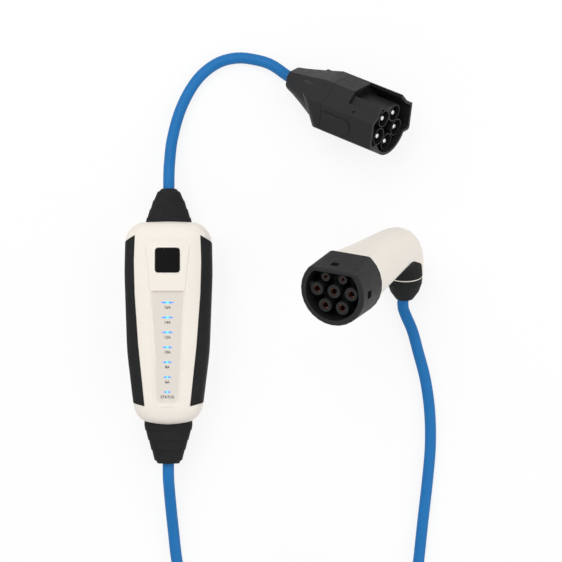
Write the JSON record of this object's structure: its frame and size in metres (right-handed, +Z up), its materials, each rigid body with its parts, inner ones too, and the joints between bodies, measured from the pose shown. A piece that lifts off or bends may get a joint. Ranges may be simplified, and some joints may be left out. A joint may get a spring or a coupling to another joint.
{
  "type": "portable ev charger",
  "caption": "Portable car charger: a control box in a lead between a keyed supply coupler and an angled vehicle connector.",
  "frame": {"origin": "bottom centre of the control box with its boots, on the table", "axes": "+Y along the box towards the supply end, +Z up from the table out of the box's front, +X to the right"},
  "size_m": [0.3043, 0.6914, 0.1854],
  "materials": {
    "cream_shell": "satin moulded plastic, warm off-white",
    "black_rubber": "matte, finely grained",
    "black_plastic": "satin moulded plastic",
    "gloss_black": "polished",
    "cable_blue": "smooth sheath with a soft sheen",
    "window_blue": "lit light guide",
    "strip_grey": "satin printed film",
    "steel": "machined",
    "copper": "copper alloy, slightly tarnished",
    "board_green": "solder mask",
    "relay_blue": "moulded case",
    "ferrite": "sintered core"
  },
  "bodies": {
    "root": {"front_shell": "cream_shell", "rear_shell": "cream_shell", "connector_handle": "cream_shell", "grip_left": "black_rubber", "grip_right": "black_rubber", "upper_boot": "black_rubber", "lower_boot": "black_rubber", "connector_boot": "black_rubber", "right_inlay": "black_rubber", "left_inlay": "black_rubber", "gasket_left": "black_rubber", "gasket_right": "black_rubber", "coupler_back_shell": "black_plastic", "coupler_shroud": "black_plastic", "contact_insert": "black_plastic", "connector_collar": "black_plastic", "contact_carrier": "black_plastic", "supply_cable_clamp": "black_plastic", "charge_cable_clamp": "black_plastic", "supply_terminals": "black_plastic", "vehicle_terminals": "black_plastic", "supply_capacitor": "black_plastic", "badge_plate": "gloss_black", "power_module": "gloss_black", "supply_lead": "cable_blue", "charge_lead_box_side": "cable_blue", "charge_lead_plug_side": "cable_blue", "charge_lead_coil": "cable_blue", "supply_cable_end": "cable_blue", "charge_cable_end": "cable_blue", "led_window_1": "window_blue", "led_window_2": "window_blue", "led_window_3": "window_blue", "led_window_4": "window_blue", "led_window_5": "window_blue", "led_window_6": "window_blue", "led_window_7": "window_blue", "indicator_strip": "strip_grey", "housing_screw_1": "steel", "housing_screw_2": "steel", "housing_screw_3": "steel", "housing_screw_4": "steel", "coupler_pin_1": "steel", "coupler_pin_2": "steel", "coupler_pin_3": "steel", "coupler_pin_4": "steel", "coupler_pin_5": "steel", "power_contact_1": "copper", "power_contact_2": "copper", "power_contact_3": "copper", "power_contact_4": "copper", "power_contact_5": "copper", "signal_contact_1": "copper", "signal_contact_2": "copper", "main_board": "board_green", "led_board": "board_green", "relay_left": "relay_blue", "relay_right": "relay_blue", "current_sensor": "ferrite"}
  },
  "joints": []
}
